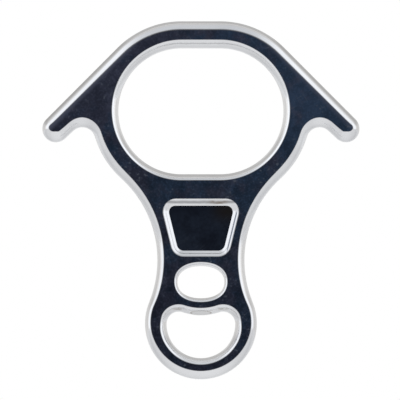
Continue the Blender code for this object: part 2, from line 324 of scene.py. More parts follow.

# Pocket's floor: cloudy, with painted shade under its top wall, a painted sheen at the lower
# left and a painted brown reflection at the upper right
POCKET_DEEP = (0.014, 0.0175, 0.028)
POCKET_LIGHT = (0.027, 0.036, 0.056)
POCKET_BROWN = (0.026, 0.021, 0.018)
POCKET_CLOUDS = Noise(0.010, 2.0, 5.0)
POCKET_GRAIN = Noise(0.0016, 2.0, 13.0)
POCKET_GRAIN_SHARE = 0.5
POCKET_CLOUD_RAMP = Ramp(0.55, 1.00)
POCKET_HAIRS = Streaks(0.7, 0.008, 0.00016, 1.0, 21.0)
POCKET_HAIR_SHARE = 0.3
POCKET_WAVES = Noise(0.005, 1.0, 12.0)
POCKET_WAVE_HEIGHT = 0.000008
POCKET_ROUGHNESS = 0.12
POCKET_CLOUD_ROUGHNESS = 0.06
SHADED_SHARE = 0.7
SHADED_Z = Ramp(0.044, 0.052)
CORNER_TONE = 0.6
CORNER_X = Ramp(-0.010, 0.001)
CORNER_Z = Ramp(0.038, 0.047)
BROWN_REFLECTION_SHARE = 0.8
BROWN_REFLECTION_X = Ramp(0.002, 0.011)
BROWN_REFLECTION_Z = Ramp(0.042, 0.050)

# Light, by its direction: level or from below, on the slope above that, and from the top. Each
# is brighter from in front. The first two dip towards the back, and the top has a strip there.
SIDE_LIGHT = 0.70
SIDE_DIP = 0.055
SIDE_DIP_Y = Spot(0.52, 0.30)
SIDE_GLOW = 0.34
SIDE_GLOW_FRONT = Ramp(-0.52, -0.16)
SLOPE_LIGHT = 0.68
SLOPE_DIP = 0.22
SLOPE_DIP_Y = Spot(0.52, 0.42)
SLOPE_GLOW = 0.37
SLOPE_GLOW_FRONT = Ramp(-0.32, 0.14)
SLOPE_UP = Ramp(0.25, 0.62)
TOP_LIGHT = 0.50
TOP_STRIP = 0.30
TOP_STRIP_Y = Spot(0.31, 0.09)
TOP_GLOW = 0.15
TOP_GLOW_FRONT = Ramp(-0.42, 0.0)
TOP_UP = Ramp(0.74, 0.97)

# Keeps the slope of a direction straight to the front or back from a division by zero
SMALL_SQUARE = 0.0001

# Dark room behind the camera, a little lighter in its middle
ROOM_LIGHT = 0.24
ROOM_FRONT = Ramp(0.80, 0.92)
ROOM_MIDDLE_GLOW = 0.16
ROOM_MIDDLE_FRONT = Ramp(0.955, 0.985)

# Tints of the light: white for the camera, and else from warm at the back to cool in front
WHITE = (1.0, 1.0, 1.0)
WARM_LIGHT = (1.01, 1.0, 0.985)
COOL_LIGHT = (0.965, 0.995, 1.04)
TINT_FRONT = Ramp(-0.35, 0.25)

# Alpha of the finishes' colours
OPAQUE = 1.0

# Sockets of a Mix node for its share, its two colours and its result
MIX_SHARE = 0
MIX_FIRST = 6
MIX_SECOND = 7
MIX_RESULT = 2

# Body material slots
RIM_SLOT = 0
FACE_SLOT = 1
WALL_SLOT = 2
POCKET_SLOT = 3

# Which way an outline turns around the centre of an arc
CLOCKWISE = 1
COUNTER = -1

# On which side of an outline the open air is
OUTSIDE_METAL = 1
OPENING = -1

# An arc of an outline, which turns by side around its centre. rim is the rim's width where the
# outline runs upright, rim_top and rim_foot its width at the top and foot of the outline, and
# power how late it changes from one to the other. edge is the rim's last radius.
Arc = namedtuple("Arc", "x z radius side rim rim_top rim_foot power edge")

# A point of an outline with the direction that points out of the metal, and its rim
Station = namedtuple("Station", "point outward rim edge")


def arc(x, z, radius, side, rim=0.0, rim_top=None, rim_foot=None, power=RIM_POWER,
        edge=EDGE_RADIUS):
    """An arc whose rim keeps its width to the top and the foot unless they are given."""
    rim_top = rim if rim_top is None else rim_top
    rim_foot = rim if rim_foot is None else rim_foot
    return Arc(x, z, radius, side, rim, rim_top, rim_foot, power, edge)


def mirrored(arcs):
    """The same arcs on the other side of the device, in the order that goes on from them."""
    return [a._replace(x=-a.x) for a in reversed(arcs)]


def tangent(a, b):
    """Direction, from either centre, of the points where a straight joins arc a to arc b."""
    along = Vector((b.x - a.x, b.z - a.z))
    reach = along.length
    along = along / reach
    left = Vector((-along.y, along.x))
    lean = (a.side * a.radius - b.side * b.radius) / reach
    lean = max(-1.0, min(1.0, lean))
    return lean * along + math.sqrt(1.0 - lean * lean) * left


def arc_points(a, start, end):
    """Points on arc a from direction start to direction end, at the allowed chord error."""
    first = math.atan2(start.y, start.x)
    last = math.atan2(end.y, end.x)
    turn = (a.side * (first - last)) % math.tau
    step = 2.0 * math.acos(1.0 - CHORD_ERROR / a.radius)
    count = max(2, math.ceil(turn / step))
    points = []
    for i in range(count + 1):
        angle = first - a.side * turn * i / count
        outward = Vector((math.cos(angle), math.sin(angle)))
        point = Vector((a.x, a.z)) + a.side * a.radius * outward
        points.append((point, outward))
    return points


def rim_width(a, outward):
    """Rim width of arc a where its outline faces the direction outward."""
    end = a.rim_top if outward.y > 0.0 else a.rim_foot
    return a.rim + (end - a.rim) * abs(outward.y) ** a.power


def outline(arcs, air):
    """Closed clockwise outline through arcs, with straights between them and the air outside
    or inside it."""
    joins = [tangent(a, arcs[(i + 1) % len(arcs)]) for i, a in enumerate(arcs)]
    stretches = [arc_points(a, joins[i - 1], joins[i]) for i, a in enumerate(arcs)]
    raw = []
    for i, a in enumerate(arcs):
        following = arcs[(i + 1) % len(arcs)]
        raw += [(p, n, (rim_width(a, n), a.edge)) for p, n in stretches[i]]
        start, normal = stretches[i][-1]
        end = stretches[(i + 1) % len(arcs)][0][0]
        pieces = math.ceil((end - start).length / STRAIGHT_STEP)
        first = Vector((rim_width(a, normal), a.edge))
        last = Vector((rim_width(following, normal), following.edge))
        for k in range(1, pieces):
            share = k / pieces
            raw.append((start.lerp(end, share), normal, first.lerp(last, share)))
    stations = []
    for i, (point, normal, rim) in enumerate(raw):
        if (point - raw[i - 1][0]).length > BLEND_GAP:
            stations.append(Station(point, air * normal, *rim))
    return stations


def eased(values):
    """The values of a closed row of stations, each eased into its neighbours'."""
    for _ in range(EASING_PASSES):
        halfway = [(v + values[i - 1]) / 2.0 for i, v in enumerate(values)]
        values = [(h + halfway[(i + 1) % len(values)]) / 2.0 for i, h in enumerate(halfway)]
    return values


def evened(stations):
    """The stations with the rim eased from each stretch into the next."""
    rims = eased([s.rim for s in stations])
    edges = eased([s.edge for s in stations])
    return [s._replace(rim=r, edge=e) for s, r, e in zip(stations, rims, edges)]


def touching(a, b, radius):
    """Centre of a circle of this radius that nearly touches arcs a and b, on their right."""
    from_a = a.radius + radius + BLEND_GAP
    from_b = b.radius + radius + BLEND_GAP
    apart = Vector((b.x - a.x, b.z - a.z))
    reach = apart.length
    along = (from_a ** 2 - from_b ** 2 + reach ** 2) / (2.0 * reach)
    across = math.sqrt(from_a ** 2 - along ** 2)
    unit = apart / reach
    right = Vector((unit.y, -unit.x))
    return Vector((a.x, a.z)) + unit * along + right * across


def cradle(end, low_z, side, rim):
    """Arc centred on the device's middle, lowest at low_z, that touches the arc end."""
    rise = end.z - low_z
    signed = side * end.radius
    radius = (end.x ** 2 + rise ** 2 - end.radius ** 2) / (2.0 * (rise - signed))
    return arc(0.0, low_z + radius, radius, side, rim)


def ring_arc(*rims):
    """The outside of the ring, on the right of the device."""
    radius = RING_RADIUS + RING_WALL
    return arc(RING_HALF_STRAIGHT, EYE_TO_RING, radius, CLOCKWISE, *rims)


def ring_flank():
    """The outside of the ring below the hook notch."""
    return ring_arc(RIM_FLANK, RIM_FLANK, RIM_FLANK_FOOT)


def eye_arc():
    """The outside of the eye."""
    rims = (RIM_EYE_SIDE, RIM_EYE_SIDE, RIM_EYE_FOOT, RIM_EYE_POWER)
    return arc(0.0, 0.0, EYE_RADIUS, CLOCKWISE, *rims)


def neck_arc():
    """The hollow side of the neck, on the right of the device."""
    centre = touching(eye_arc(), ring_flank(), NECK_RADIUS)
    return arc(centre.x, centre.y, NECK_RADIUS, COUNTER, RIM_NECK)


def ear_arcs():
    """The arcs from the top of the ring over the right ear to its notch."""
    ring_top = ring_arc(RIM_TOP_SIDE, RIM_TOP, RIM_TOP_SIDE, RIM_POWER, EDGE_RADIUS_TOP)
    to_notch = ring_top.radius + NOTCH_RADIUS + BLEND_GAP
    notch_x = ring_top.x + to_notch * math.cos(NOTCH_ANGLE)
    notch_z = ring_top.z + to_notch * math.sin(NOTCH_ANGLE)
    notch = arc(notch_x, notch_z, NOTCH_RADIUS, COUNTER, RIM_NOTCH_SIDE, rim_foot=RIM_NOTCH)

    tip_radius = min(EAR_TIP_RADIUS, EAR_BARB_WIDTH / 2.0)
    tip_x = notch_x + NOTCH_RADIUS + EAR_BARB_WIDTH - tip_radius
    tip_z = notch_z + EAR_TIP_ABOVE_NOTCH
    rims = (RIM_EAR_TIP, RIM_EAR_TOP, RIM_EAR_FOOT, RIM_EAR_POWER, EDGE_RADIUS_EAR)
    return [ring_top, arc(tip_x, tip_z, tip_radius, CLOCKWISE, *rims), notch]


def body_outline():
    """The outside of the forging: ring, ears, hook notches, neck and eye."""
    right = ear_arcs() + [ring_flank(), neck_arc()]
    return evened(outline(right + [eye_arc()] + mirrored(right), OUTSIDE_METAL))


def ring_opening():
    """The rope opening: half circles on short straights."""
    rims = (RIM_RING, RIM_RING_TOP, RIM_RING_FOOT, RIM_POWER, EDGE_RADIUS_RING)
    end = arc(RING_HALF_STRAIGHT, EYE_TO_RING, RING_RADIUS, CLOCKWISE, *rims)
    return evened(outline([end] + mirrored([end]), OPENING))


def eye_side():
    """The right side of the carabiner opening."""
    x = EYE_RADIUS - EYE_SIDE_WALL - EYE_SIDE_RADIUS
    return arc(x, EYE_SIDE_Z, EYE_SIDE_RADIUS, CLOCKWISE, RIM_EYE_OPENING_SIDE)


def eye_bottom():
    """The bottom of the carabiner opening, which runs into both sides."""
    return cradle(eye_side(), EYE_BOTTOM_WALL - EYE_RADIUS, CLOCKWISE, RIM_EYE_OPENING_BOTTOM)


def eye_lobe():
    """The right lobe of the carabiner opening, which goes on from its side."""
    side = eye_side()
    bottom = eye_bottom()
    heading = math.atan2(side.z - bottom.z, side.x - bottom.x) + EYE_SIDE_TURN
    apart = EYE_SIDE_RADIUS - EYE_LOBE_RADIUS
    x = side.x + apart * math.cos(heading)
    z = side.z + apart * math.sin(heading)
    return arc(x, z, EYE_LOBE_RADIUS, CLOCKWISE, RIM_EYE_OPENING)


def eye_bump_z():
    """Height of the lowest point of the metal that hangs between the lobes."""
    lobe = eye_lobe()
    return lobe.z + lobe.radius - EYE_BUMP_DROP


def eye_opening():
    """The carabiner opening: a round bottom, two lobes and a bump between them."""
    lobe = eye_lobe()
    bump = cradle(lobe, eye_bump_z(), COUNTER, RIM_EYE_OPENING)
    right = [lobe, eye_side()]
    return evened(outline([bump] + right + [eye_bottom()] + mirrored(right), OPENING))


def oval_z():
    """Height of the oval hole's centre."""
    lobe = eye_lobe()
    return lobe.z + lobe.radius + OVAL_WALL + OVAL_HALF_HEIGHT


def signed_power(value, power):
    """A power of the value's size, with the value's sign."""
    return math.copysign(abs(value) ** power, value)


def oval_opening():
    """The oval hole, a slightly squared ellipse."""
    centre_z = oval_z()
    stations = []
    for i in range(OVAL_STEPS):
        angle = -math.tau * i / OVAL_STEPS
        x = signed_power(math.cos(angle), 2.0 / OVAL_POWER)
        z = signed_power(math.sin(angle), 2.0 / OVAL_POWER)
        point = Vector((OVAL_HALF_WIDTH * x, centre_z + OVAL_HALF_HEIGHT * z))
        steep_x = signed_power(x, OVAL_POWER - 1.0) / OVAL_HALF_WIDTH
        steep_z = signed_power(z, OVAL_POWER - 1.0) / OVAL_HALF_HEIGHT
        normal = Vector((steep_x, steep_z)).normalized()
        end = RIM_OVAL_TOP if normal.y > 0.0 else RIM_OVAL_FOOT
        rim = RIM_OVAL + (end - RIM_OVAL) * normal.y ** 2
        stations.append(Station(point, OPENING * normal, rim, EDGE_RADIUS_OVAL))
    return stations


def neck_half_width(z):
    """Half the width of the neck's flat face at height z."""
    neck = neck_arc()
    return neck.x - math.sqrt(neck.radius ** 2 - (z - neck.z) ** 2) - RIM_NECK


def pocket_corners():
    """The top and bottom corner of the pocket's edge, on the right of the device."""
    top_z = EYE_TO_RING - RING_RADIUS - RIM_RING_FOOT - POCKET_LAND_ABOVE
    bottom_z = oval_z() + OVAL_HALF_HEIGHT + RIM_OVAL_TOP + POCKET_LAND_BELOW
    height = top_z - bottom_z
    top_half_width = neck_half_width(top_z) - POCKET_TOP_LAND
    bottom_half_width = neck_half_width(bottom_z) - POCKET_BOTTOM_LAND

    corner = POCKET_FLOOR_RADIUS + POCKET_WALL
    lean = (top_half_width - bottom_half_width) / height
    spread = math.hypot(1.0, lean)
    walls = (POCKET_WALL, POCKET_TOP_WALL)
    right = []
    for half_width, side, z in (
        (top_half_width, spread + lean, top_z - corner),
        (bottom_half_width, spread - lean, bottom_z + corner),
    ):
        right.append(arc(half_width - corner * side, z, corner, CLOCKWISE, *walls))
    return right


def pocket_outline():
    """The edge of the marking pocket: a trapezoid, wider at the top, with round corners."""
    right = pocket_corners()
    return evened(outline(right + mirrored(right), OPENING))


def rim_arc(width, edge):
    """Where a rim reaches the flat face, and the radius of its main arc."""
    flat_at = width + edge * math.sin(EDGE_TILT)
    radius = (HALF ** 2 - 2.0 * HALF * edge + flat_at ** 2) / (2.0 * (flat_at - edge))
    return flat_at, radius


def rim_profile(width, edge):
    """Inset and depth of the points of a rim's cross-section, from mid-thickness to the face.

    The rim is one arc from the outline, which goes on in the edge's smaller arc to the face.
    """
    flat_at, radius = rim_arc(width, edge)
    meeting = math.asin((HALF - edge) / (radius - edge))
    points = []
    for k in range(RIM_STEPS + 1):
        angle = meeting * k / RIM_STEPS
        points.append((radius * (1.0 - math.cos(angle)), radius * math.sin(angle)))
    for k in range(1, EDGE_STEPS + 1):
        angle = meeting + (math.pi / 2.0 - meeting) * k / EDGE_STEPS
        points.append((flat_at - edge * math.cos(angle), HALF - edge + edge * math.sin(angle)))
    return points


def bend(start, first, last, radius):
    """Points of a cross-section that goes on from start while its slope turns at a radius."""
    points = []
    for k in range(1, POCKET_STEPS + 1):
        slope = first + (last - first) * k / POCKET_STEPS
        across = radius * abs(math.sin(slope) - math.sin(first))
        down = radius * abs(math.cos(slope) - math.cos(first))
        points.append((start[0] + across, start[1] + down))
    return points


def pocket_profile(wall):
    """Distance in from the pocket's edge and depth below the face, from the face to the floor.

    The face rolls off to the break angle. From there the wall is two arcs, one that rounds
    over and one that runs into the floor, which it meets at the break angle again.
    """
    start = (-EDGE_RADIUS_POCKET * math.sin(POCKET_BREAK), 0.0)
    points = [start] + bend(start, 0.0, POCKET_BREAK, EDGE_RADIUS_POCKET)
    depth = POCKET_DEPTH - points[-1][1]
    steepest = 2.0 * math.atan2(depth, wall) - POCKET_BREAK
    radii = wall / (math.sin(steepest) - math.sin(POCKET_BREAK))
    points += bend(points[-1], POCKET_BREAK, steepest, radii * POCKET_ROUNDING)
    points += bend(points[-1], steepest, POCKET_BREAK, radii * (1.0 - POCKET_ROUNDING))
    return points


def add_ring(mesh, stations, places):
    """A closed ring of vertices, each moved into the metal by its inset and to its y."""
    ring = []
    for station, (inset, y) in zip(stations, places):
        p = station.point - station.outward * inset
        ring.append(mesh.verts.new((p.x, y, p.y)))
    return ring


def bridge(mesh, first, second, slot):
    """Quads between two rings with the same number of vertices."""
    for i in range(len(first)):
        face = mesh.faces.new((first[i - 1], first[i], second[i], second[i - 1]))
        face.material_index = slot


def add_wall(mesh, stations):
    """The rounded rim along an outline, from the back face to the front face."""
    profiles = [rim_profile(s.rim, s.edge) for s in stations]
    last = RIM_STEPS + EDGE_STEPS
    rings = []
    for k in range(-last, last + 1):
        places = [(p[abs(k)][0], -math.copysign(p[abs(k)][1], k)) for p in profiles]
        rings.append(add_ring(mesh, stations, places))
    for k, (first, second) in enumerate(zip(rings, rings[1:])):
        in_rim = EDGE_STEPS <= k < EDGE_STEPS + 2 * RIM_STEPS
        bridge(mesh, first, second, RIM_SLOT if in_rim else FACE_SLOT)
    return rings[0], rings[-1]


def loop_edges(mesh, ring):
    """The edges of a closed ring of vertices."""
    return [mesh.edges.get((ring[i - 1], ring[i])) for i in range(len(ring))]


def fill(mesh, rings, slot):
    """Triangles over the flat area that the rings bound."""
    edges = [edge for ring in rings for edge in loop_edges(mesh, ring)]
    made = bmesh.ops.triangle_fill(mesh, use_beauty=True, use_dissolve=False, edges=edges)
    for item in made["geom"]:
        if isinstance(item, bmesh.types.BMFace):
            item.material_index = slot


def add_pocket(mesh):
    """The marking pocket's wall and floor. Returns the ring on the front face."""
    stations = pocket_outline()
    profiles = [pocket_profile(s.rim) for s in stations]
    rings = []
    for k in range(len(profiles[0])):
        places = [(-p[k][0], p[k][1] - HALF) for p in profiles]
        rings.append(add_ring(mesh, stations, places))
    for first, second in zip(rings, rings[1:]):
        bridge(mesh, first, second, WALL_SLOT)
    fill(mesh, [rings[-1]], POCKET_SLOT)
    return rings[0]


def eye_flat():
    """A point in the middle of the small flat on the bump, and the way the flat faces."""
    facing = Vector((0.0, -math.sin(EYE_FLAT_TILT), -math.cos(EYE_FLAT_TILT)))
    flat_at, radius = rim_arc(RIM_EYE_OPENING, EDGE_RADIUS)
    centre = Vector((0.0, 0.0, eye_bump_z() + radius))
    return centre + facing * (radius - EYE_FLAT_DEPTH), facing


def grind_eye_flat(mesh):
    """Presses the front of the bump in the eye's opening to a small flat."""
    touch, facing = eye_flat()
    for vertex in mesh.verts:
        proud = (vertex.co - touch).dot(facing)
        near_bump = abs(vertex.co.x) < EYE_LOBE_RADIUS and abs(vertex.co.z - touch.z) < HALF
        if near_bump and proud > 0.0:
            vertex.co -= facing * proud


def shape_body():
    """The whole device as one closed body."""
    mesh = bmesh.new()
    eye_walls = add_wall(mesh, eye_opening())
    grind_eye_flat(mesh)
    walls = [
        eye_walls,
        add_wall(mesh, body_outline()),
        add_wall(mesh, ring_opening()),
        add_wall(mesh, oval_opening()),
    ]
    back_rings = [back for back, front in walls]
    front_rings = [front for back, front in walls]
    pocket_ring = add_pocket(mesh)
    fill(mesh, back_rings, FACE_SLOT)
    fill(mesh, front_rings + [pocket_ring], FACE_SLOT)
    bmesh.ops.recalc_face_normals(mesh, faces=mesh.faces)

    data = bpy.data.meshes.new("descender")
    mesh.to_mesh(data)
    mesh.free()
    data.shade_smooth()
    data.set_sharp_from_angle(angle=SHARP_ANGLE)
    body = bpy.data.objects.new("descender", data)
    bpy.context.scene.collection.objects.link(body)
    return body


class Socket:
    """An output of a shader node. Arithmetic on it adds Math nodes to its shader."""

    def __init__(self, shader, socket):
        self.shader = shader
        self.socket = socket

    def __add__(self, other):
        return self.shader.math("ADD", self, other)

    def __radd__(self, other):
        return self.shader.math("ADD", other, self)

    def __sub__(self, other):
        return self.shader.math("SUBTRACT", self, other)

    def __rsub__(self, other):
        return self.shader.math("SUBTRACT", other, self)

    def __mul__(self, other):
        return self.shader.math("MULTIPLY", self, other)

    def __rmul__(self, other):
        return self.shader.math("MULTIPLY", other, self)

    def __truediv__(self, other):
        return self.shader.math("DIVIDE", self, other)

    def __abs__(self):
        return self.shader.math("ABSOLUTE", self)


class Shader:
    """The node tree of a material or of the world."""

    def __init__(self, owner):
        owner.use_nodes = True
        self.tree = owner.node_tree
        self.tree.nodes.clear()

    def node(self, kind, settings=None, inputs=None, output=0):
        """Adds a node, sets it up, fills its sockets and gives one of its outputs."""
        made = self.tree.nodes.new(kind)
        for name, value in (settings or {}).items():
            setattr(made, name, value)
        for name, value in (inputs or {}).items():
            if isinstance(value, Socket):
                self.tree.links.new(value.socket, made.inputs[name])
            else:
                made.inputs[name].default_value = value
        return Socket(self, made.outputs[output]) if made.outputs else None

    def math(self, operation, *terms):
        return self.node("ShaderNodeMath", {"operation": operation}, dict(enumerate(terms)))

    def place(self):
        """The point on the surface, in the device's own metres."""
        return self.node("ShaderNodeTexCoord", output="Object")

    def facing(self):
        """The X, Y and Z of the way that the surface faces, in the device's own axes."""
        return self.split(self.node("ShaderNodeTexCoord", output="Normal"))

    def split(self, vector):
        """The X, Y and Z of a vector."""
        return [self.node("ShaderNodeSeparateXYZ", None, {0: vector}, k) for k in range(3)]

    def clouds(self, vector, noise):
        """Soft noise from 0 to 1."""
        settings = {"noise_dimensions": "4D"}
        inputs = {
            "Vector": vector,
            "W": noise.seed,
            "Scale": 1.0 / noise.size,
            "Detail": noise.detail,
        }
        return self.node("ShaderNodeTexNoise", settings, inputs)

    def streaked(self, vector, streaks):
        """Soft noise from 0 to 1, drawn out into streaks."""
        turning = {"Vector": vector, "Angle": streaks.turn}
        turned = self.node("ShaderNodeVectorRotate", {"rotation_type": "Y_AXIS"}, turning)
        scale = (1.0 / streaks.length, 1.0 / streaks.length, 1.0 / streaks.width)
        scaling = {"operation": "MULTIPLY"}
        scaled = self.node("ShaderNodeVectorMath", scaling, {0: turned, 1: scale})
        return self.clouds(scaled, Noise(1.0, streaks.detail, streaks.seed))

    def rising(self, value, ramp):
        """0 below the ramp, 1 above it, and smooth between its ends."""
        settings = {"interpolation_type": "SMOOTHSTEP"}
        inputs = {"Value": value, "From Min": ramp.low, "From Max": ramp.high}
        return self.node("ShaderNodeMapRange", settings, inputs)

    def falling(self, value, ramp):
        """1 below the ramp, 0 above it, and smooth between its ends."""
        return 1.0 - self.rising(value, ramp)

    def near(self, value, spot):
        """1 at the spot's centre, falling smoothly to 0 at its reach."""
        return self.falling(abs(value - spot.centre), Ramp(0.0, spot.reach))

    def mix(self, share, first, second):
        """A colour between first and second."""
        first, second = [(*c, OPAQUE) if isinstance(c, tuple) else c for c in (first, second)]
        inputs = {MIX_SHARE: share, MIX_FIRST: first, MIX_SECOND: second}
        return self.node("ShaderNodeMix", {"data_type": "RGBA"}, inputs, MIX_RESULT)


def metal(name, paint):
    """A metal whose colour, roughness and relief come from paint(shader)."""
    material = bpy.data.materials.new(name)
    shader = Shader(material)
    colour, roughness, relief = paint(shader)
    height = {"Strength": 1.0, "Distance": 1.0, "Height": relief}
    bump = shader.node("ShaderNodeBump", None, height)
    inputs = {"Base Color": colour, "Roughness": roughness, "Normal": bump, "Metallic": 1.0}
    surface = shader.node("ShaderNodeBsdfPrincipled", None, inputs)
    shader.node("ShaderNodeOutputMaterial", None, {"Surface": surface})
    return material


def ring_gap(shader, x, z):
    """Distance from the edge of the rope opening."""
    beyond = shader.math("MAXIMUM", abs(x) - RING_HALF_STRAIGHT, 0.0)
    rise = z - EYE_TO_RING
    return shader.math("SQRT", beyond * beyond + rise * rise) - RING_RADIUS


def edge_gap(a, b, x, z):
    """Distance in from the straight edge that joins arc a to arc b."""
    across = tangent(a, b)
    reach = a.x * across.x + a.z * across.y + a.radius
    return reach - across.x * x - across.y * z


def ear_gap(x, z):
    """Distance in from the straight top edge of the nearer ear."""
    ring_top, ear_tip = ear_arcs()[:2]
    return edge_gap(ring_top, ear_tip, abs(x), z)


def painted_crest_shade(shader, x, z):
    """Painted shade on the crests of the ears, from 0 to 1."""
    crest = shader.falling(ear_gap(x, z), CREST_SHADE_GAP) * shader.rising(abs(x), CREST_SHADE_X)
    return crest * (CREST_SHADE_SHARE - CREST_SHADE_LEFT_GAIN * x)


def painted_rim_highlights(shader, x, z):
    """Painted highlights on the rims, from 0 to 1."""
    upward = shader.facing()[2]
    foot = shader.rising(upward, FOOT_UPWARD) * shader.falling(abs(x), FOOT_X)
    foot = foot * shader.falling(z, FOOT_Z)
    ring_highlight = shader.falling(ring_gap(shader, x, z), RING_HIGHLIGHT_GAP) * shader.rising(abs(x), RING_HIGHLIGHT_X)
    ring_highlight = ring_highlight * shader.rising(upward, RING_HIGHLIGHT_UPWARD)
    notch_highlight = shader.near(abs(x), NOTCH_HIGHLIGHT_X) * shader.near(z, NOTCH_HIGHLIGHT_Z)
    return foot + RING_HIGHLIGHT_SHARE * ring_highlight + notch_highlight


def trimmed(shader, place):
    """Marks of the trimming in the eye's opening, from 0 to 1."""
    x, y, z = shader.split(place)
    touch, facing = eye_flat()
    proud = facing.y * (y - touch.y) + facing.z * (z - touch.z)
    line = shader.near(proud, TRIM_LINE_PROUD) * shader.near(z, Spot(touch.z, TRIM_LINE_REACH))
    line = line * shader.falling(abs(x), TRIM_LINE_X) * shader.falling(y, TRIM_LINE_FRONT)
    lobe = eye_lobe()
    height = Spot(lobe.z + lobe.radius + TRIM_STREAK_RISE, TRIM_STREAK_HALF_WIDTH)
    streak = shader.near(z, height) * shader.near(abs(x), Spot(lobe.x, TRIM_STREAK_HALF_LENGTH))
    ragged = shader.rising(shader.clouds(place, TRIM_STREAK_RAGS), TRIM_STREAK_RAMP)
    return line + TRIM_STREAK_SHARE * streak * ragged


def rim_colour(shader, place):
    """Bright aluminium with faint cloudiness, painted shade on the ears' crests, painted
    highlights and the marks of trimming.
    """
    x, y, z = shader.split(place)
    cloud = shader.rising(shader.clouds(place, RIM_CLOUDS), RIM_CLOUD_RAMP)
    colour = shader.mix(cloud, RIM_COLOUR, RIM_PALE_COLOUR)
    # Painted shade darkens the ears' crests.
    colour = shader.mix(painted_crest_shade(shader, x, z), colour, CREST_SHADE_COLOUR)
    # Painted highlights brighten the eye's and oval's feet, the ring's sides and the notches'
    # feet.
    colour = shader.mix(painted_rim_highlights(shader, x, z), colour, RIM_HIGHLIGHT_COLOUR)
    return shader.mix(trimmed(shader, place), colour, TRIM_COLOUR)


def paint_rim(shader):
    """Polished aluminium with the soft waves of hand polishing, duller along the neck."""
    place = shader.place()
    x, y, z = shader.split(place)
    haze = shader.clouds(place, RIM_HAZE)
    neck = shader.near(z, NECK_Z) * shader.rising(abs(x), NECK_X)
    roughness = RIM_ROUGHNESS + RIM_HAZE_ROUGHNESS * haze + NECK_ROUGHNESS * neck
    relief = RIM_WAVE_HEIGHT * shader.clouds(place, RIM_WAVES)
    return rim_colour(shader, place), roughness, relief


def scratched(shader, place, hairs):
    """Thin scattered scratches that run at an angle, from 0 to 1."""
    patches = HAIR_PATCHES._replace(seed=hairs.seed + HAIR_PATCHES.seed)
    shown = shader.rising(shader.clouds(place, patches), HAIR_PATCH_RAMP)
    return shown * shader.rising(shader.streaked(place, hairs), HAIR_RAMP)


def face_plum(shader, place, mottle):
    """How far the face's hue has turned from blue to plum, from 0 to 1."""
    x, y, z = shader.split(place)
    hue = shader.clouds(place, PLUM_CLOUDS) + PLUM_MOTTLE * mottle - PLUM_LEFT_GAIN * x * z
    return shader.rising(hue + PLUM_END_GAIN * abs(z - PLUM_MIDDLE_Z), PLUM_RAMP)


def face_tone(shader, place, patches, mottle):
    """How light the face is, from 0 to 1."""
    x, y, z = shader.split(place)
    rightward = shader.math("MAXIMUM", x, 0.0)
    # Painted reflection: the tone rises towards the ring, faster on the right.
    tone = FACE_TONE + TONE_RISE * z + TONE_RIGHT_RISE * rightward * z
    tone = tone + TONE_NOISE * (patches + mottle)
    grain = shader.rising(shader.clouds(place, GRAIN), GRAIN_RAMP)
    veins = shader.near(shader.clouds(place, VEINS), VEIN_LEVEL)
    veins = veins * shader.rising(patches, VEIN_PATCHES)
    # A painted glint on the right ear.
    glint = shader.near(x, GLINT_X) * shader.near(z, GLINT_Z)
    worn = shader.near(ring_gap(shader, x, z), WORN_GAP) * shader.near(z, WORN_Z)
    worn = worn * shader.rising(mottle, WORN_MOTTLE)
    tone = tone + GRAIN_TONE * grain + VEIN_TONE * veins + GLINT_TONE * glint + WORN_TONE * worn
    return shader.node("ShaderNodeClamp", None, {"Value": tone})


def ear_sheen(shader, x, z):
    """Painted sheen on the face along the ears' top edges, from 0 to 1."""
    sheen = shader.falling(ear_gap(x, z), SHEEN_GAP) * shader.rising(abs(x), SHEEN_X)
    return sheen * (SHEEN_SHARE - SHEEN_LEFT_GAIN * x)


def face_specks(shader, place, patches, mottle):
    """Fine specks in clusters, from 0 to 1."""
    x, y, z = shader.split(place)
    marked = shader.near(abs(x), MARKED_X) * shader.near(z, MARKED_Z)
    clusters = patches + SPECK_MOTTLE * mottle + MARKED_SHARE * marked
    specks = shader.rising(shader.clouds(place, SPECKS), SPECK_RAMP)
    return specks * shader.rising(clusters, SPECK_CLUSTERS)


def edge_tilt(shader):
    """Angle between the surface and the flat faces."""
    x, y, z = shader.facing()
    return shader.math("ARCCOSINE", shader.math("MINIMUM", abs(y), 1.0))


def paint_face(shader):
    """Dark mirror face, mottled in navy and plum, with fine specks and hair scratches. Its dark
    colour is painted reflection, with a painted sheen and a painted glint. At its turned edge it
    fades into the bright metal of the rims."""
    place = shader.place()
    x, y, z = shader.split(place)
    patches = shader.clouds(place, FACE_PATCHES)
    mottle = shader.clouds(place, FACE_MOTTLE)
    plum = face_plum(shader, place, mottle)
    # The face's dark colour is painted reflection of dark surroundings on polished metal.
    deep = shader.mix(plum, FACE_DEEP_BLUE, FACE_DEEP_PLUM)
    light = shader.mix(plum, FACE_LIGHT_BLUE, FACE_LIGHT_PLUM)
    colour = shader.mix(face_tone(shader, place, patches, mottle), deep, light)
    # Painted sheen along the ears' top edges.
    colour = shader.mix(ear_sheen(shader, x, z), colour, SHEEN_COLOUR)

    specks = face_specks(shader, place, patches, mottle)
    hairs = scratched(shader, place, FACE_HAIRS) + scratched(shader, place, FACE_CROSS_HAIRS)
    marks = SPECK_SHARE * specks + FACE_HAIR_SHARE * hairs
    colour = shader.mix(marks, colour, SCRATCH_AND_PAINTED_REFLECTION_COLOUR)
    roughness = FACE_ROUGHNESS + FACE_PATCH_ROUGHNESS * patches + SPECK_ROUGHNESS * specks
    relief = FACE_WAVE_HEIGHT * shader.clouds(place, FACE_WAVES)
    bright = shader.rising(edge_tilt(shader), EDGE_FADE)
    return shader.mix(bright, colour, rim_colour(shader, place)), roughness, relief


